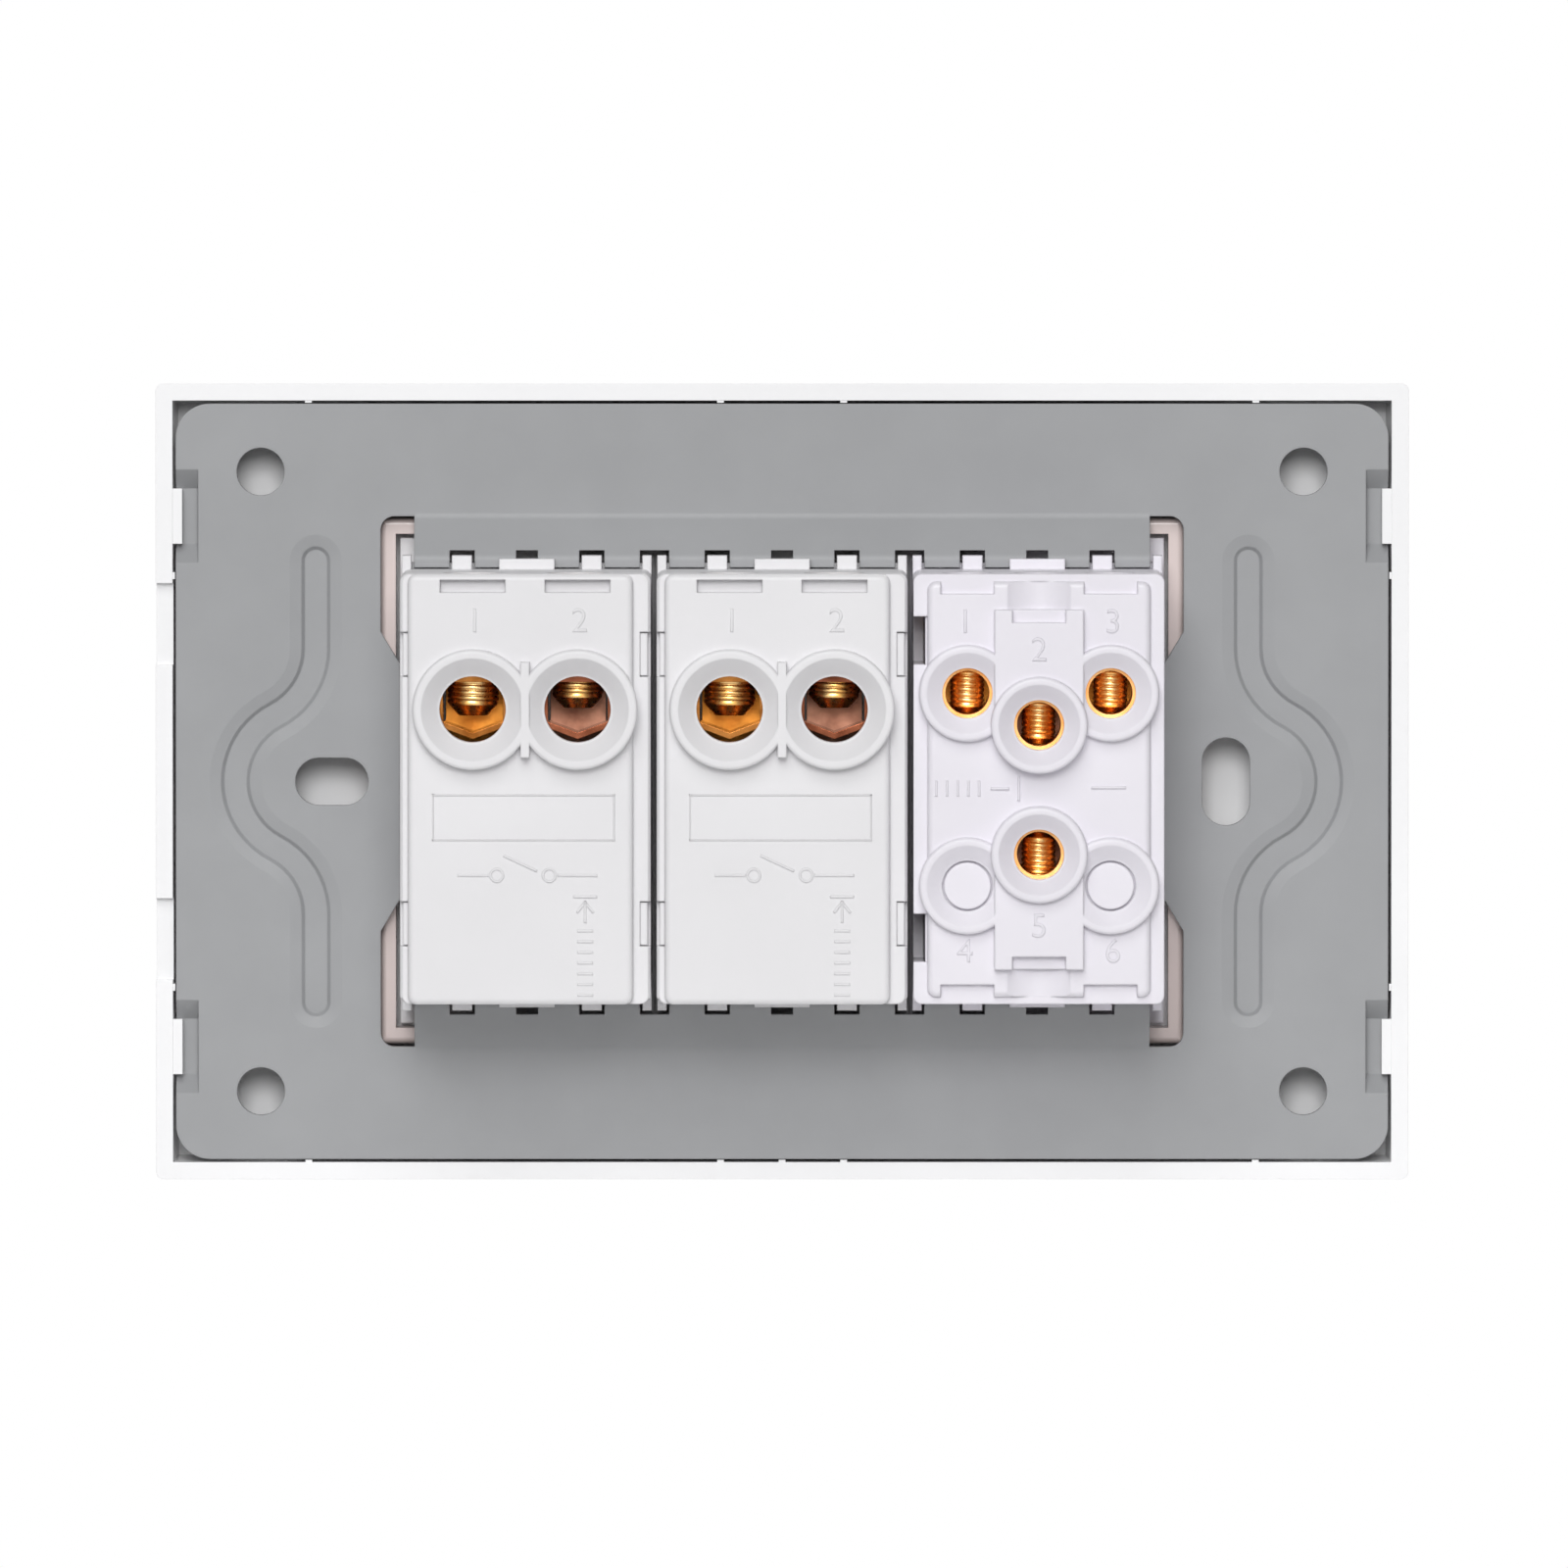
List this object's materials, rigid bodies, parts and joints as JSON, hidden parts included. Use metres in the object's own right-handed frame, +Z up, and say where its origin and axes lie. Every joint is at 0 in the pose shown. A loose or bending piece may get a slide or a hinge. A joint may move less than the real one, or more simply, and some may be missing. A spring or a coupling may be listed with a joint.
{
  "type": "light switch",
  "caption": "Wall-plate light switch with side-by-side rockers, a pressed-steel strap and snap-in switch modules with screw terminals at the back.",
  "frame": {"origin": "middle of the plate, in the plane of the strap's rear face, which lies on the wall", "axes": "+X along the plate, +Y into the wall, +Z up; the rockers face -Y"},
  "size_m": [0.118, 0.0336, 0.075],
  "materials": {
    "plate_plastic": "moulded, glossy white",
    "strap_paint": "pressed sheet steel, satin grey paint",
    "module_plastic": "moulded, fine matt white",
    "double_plastic": "moulded, fine matt white with a cool tint",
    "rocker_plastic": "moulded, glossy white",
    "plunger_plastic": "moulded acetal, natural",
    "terminal_brass": "drawn and cut brass",
    "screw_brass": "turned brass",
    "strip_copper": "stamped copper alloy",
    "contact_silver": "silver alloy rivet",
    "spring_steel": "drawn spring wire"
  },
  "bodies": {
    "chassis": {"face_plate": "plate_plastic", "mounting_strap": "strap_paint", "housing_double": "double_plastic", "cover_double": "double_plastic", "housing_middle": "module_plastic", "cover_middle": "module_plastic", "housing_right": "module_plastic", "cover_right": "module_plastic", "terminal_common_1": "terminal_brass", "terminal_load_1": "terminal_brass", "fixed_contact_1": "contact_silver", "fixed_strip_1": "strip_copper", "common_strip_1": "strip_copper", "terminal_common_2": "terminal_brass", "terminal_load_2": "terminal_brass", "fixed_contact_2": "contact_silver", "fixed_strip_2": "strip_copper", "common_strip_2": "strip_copper", "terminal_common_3": "terminal_brass", "terminal_load_3": "terminal_brass", "fixed_contact_3": "contact_silver", "fixed_strip_3": "strip_copper", "common_strip_3": "strip_copper", "terminal_common_4": "terminal_brass", "terminal_load_4": "terminal_brass", "fixed_contact_4": "contact_silver", "fixed_strip_4": "strip_copper", "common_strip_4": "strip_copper"},
    "rocker_body_1": {"rocker_1": "rocker_plastic", "spring_1": "spring_steel"},
    "plunger_body_1": {"plunger_1": "plunger_plastic"},
    "arm_body_1": {"contact_arm_1": "strip_copper", "moving_contact_1": "contact_silver"},
    "screw_body_common_1": {"screw_common_1": "screw_brass"},
    "screw_body_load_1": {"screw_load_1": "screw_brass"},
    "rocker_body_2": {"rocker_2": "rocker_plastic", "spring_2": "spring_steel"},
    "plunger_body_2": {"plunger_2": "plunger_plastic"},
    "arm_body_2": {"contact_arm_2": "strip_copper", "moving_contact_2": "contact_silver"},
    "screw_body_common_2": {"screw_common_2": "screw_brass"},
    "screw_body_load_2": {"screw_load_2": "screw_brass"},
    "rocker_body_3": {"rocker_3": "rocker_plastic", "spring_3": "spring_steel"},
    "plunger_body_3": {"plunger_3": "plunger_plastic"},
    "arm_body_3": {"contact_arm_3": "strip_copper", "moving_contact_3": "contact_silver"},
    "screw_body_common_3": {"screw_common_3": "screw_brass"},
    "screw_body_load_3": {"screw_load_3": "screw_brass"},
    "rocker_body_4": {"rocker_4": "rocker_plastic", "spring_4": "spring_steel"},
    "plunger_body_4": {"plunger_4": "plunger_plastic"},
    "arm_body_4": {"contact_arm_4": "strip_copper", "moving_contact_4": "contact_silver"},
    "screw_body_common_4": {"screw_common_4": "screw_brass"},
    "screw_body_load_4": {"screw_load_4": "screw_brass"}
  },
  "joints": [
    {"name": "rocker_tilt_1", "type": "hinge", "parent": "chassis", "child": "rocker_body_1", "pos_m": [-0.02961, -0.003, 0], "axis": [1, 0, 0], "range_deg": [0, 10]},
    {"name": "plunger_slide_1", "type": "slide", "parent": "rocker_body_1", "child": "plunger_body_1", "axis": [0, -0.9962, 0.0872], "range_m": [0, 0.001], "stiffness_N_per_m": 500, "deforming": ["spring_1"]},
    {"name": "arm_tilt_1", "type": "hinge", "parent": "chassis", "child": "arm_body_1", "pos_m": [-0.02961, 0.0089, 0], "axis": [1, 0, 0], "range_deg": [-16, 0]},
    {"name": "screw_common_1_slide", "type": "slide", "parent": "chassis", "child": "screw_body_common_1", "axis": [0, 0, 1], "range_m": [-0.0041, 0.0002]},
    {"name": "screw_load_1_slide", "type": "slide", "parent": "chassis", "child": "screw_body_load_1", "axis": [0, 0, -1], "range_m": [-0.0041, 0.0002]},
    {"name": "rocker_tilt_2", "type": "hinge", "parent": "chassis", "child": "rocker_body_2", "pos_m": [-0.01839, -0.003, 0], "axis": [1, 0, 0], "range_deg": [0, 10]},
    {"name": "plunger_slide_2", "type": "slide", "parent": "rocker_body_2", "child": "plunger_body_2", "axis": [0, -0.9962, 0.0872], "range_m": [0, 0.001], "stiffness_N_per_m": 500, "deforming": ["spring_2"]},
    {"name": "arm_tilt_2", "type": "hinge", "parent": "chassis", "child": "arm_body_2", "pos_m": [-0.01839, 0.0089, 0], "axis": [1, 0, 0], "range_deg": [-16, 0]},
    {"name": "screw_common_2_slide", "type": "slide", "parent": "chassis", "child": "screw_body_common_2", "axis": [0, 0, -1], "range_m": [-0.0041, 0.0002]},
    {"name": "screw_load_2_slide", "type": "slide", "parent": "chassis", "child": "screw_body_load_2", "axis": [0, 0, -1], "range_m": [-0.0041, 0.0002]},
    {"name": "rocker_tilt_3", "type": "hinge", "parent": "chassis", "child": "rocker_body_3", "pos_m": [0, -0.003, 0], "axis": [1, 0, 0], "range_deg": [0, 10]},
    {"name": "plunger_slide_3", "type": "slide", "parent": "rocker_body_3", "child": "plunger_body_3", "axis": [0, -0.9962, 0.0872], "range_m": [0, 0.001], "stiffness_N_per_m": 500, "deforming": ["spring_3"]},
    {"name": "arm_tilt_3", "type": "hinge", "parent": "chassis", "child": "arm_body_3", "pos_m": [0, 0.0089, 0], "axis": [1, 0, 0], "range_deg": [-16, 0]},
    {"name": "screw_common_3_slide", "type": "slide", "parent": "chassis", "child": "screw_body_common_3", "axis": [0, 0, -1], "range_m": [-0.0025, 0.0013]},
    {"name": "screw_load_3_slide", "type": "slide", "parent": "chassis", "child": "screw_body_load_3", "axis": [0, 0, -1], "range_m": [-0.0032, 0.0006]},
    {"name": "rocker_tilt_4", "type": "hinge", "parent": "chassis", "child": "rocker_body_4", "pos_m": [0.024, -0.003, 0], "axis": [1, 0, 0], "range_deg": [0, 10]},
    {"name": "plunger_slide_4", "type": "slide", "parent": "rocker_body_4", "child": "plunger_body_4", "axis": [0, -0.9962, 0.0872], "range_m": [0, 0.001], "stiffness_N_per_m": 500, "deforming": ["spring_4"]},
    {"name": "arm_tilt_4", "type": "hinge", "parent": "chassis", "child": "arm_body_4", "pos_m": [0.024, 0.0089, 0], "axis": [1, 0, 0], "range_deg": [-16, 0]},
    {"name": "screw_common_4_slide", "type": "slide", "parent": "chassis", "child": "screw_body_common_4", "axis": [0, 0, -1], "range_m": [-0.0025, 0.0013]},
    {"name": "screw_load_4_slide", "type": "slide", "parent": "chassis", "child": "screw_body_load_4", "axis": [0, 0, -1], "range_m": [-0.0032, 0.0006]}
  ],
  "couplings": [
    {"joint": "arm_tilt_1", "follows": "rocker_tilt_1", "ratio": -1.6},
    {"joint": "arm_tilt_2", "follows": "rocker_tilt_2", "ratio": -1.6},
    {"joint": "arm_tilt_3", "follows": "rocker_tilt_3", "ratio": -1.6},
    {"joint": "arm_tilt_4", "follows": "rocker_tilt_4", "ratio": -1.6}
  ]
}
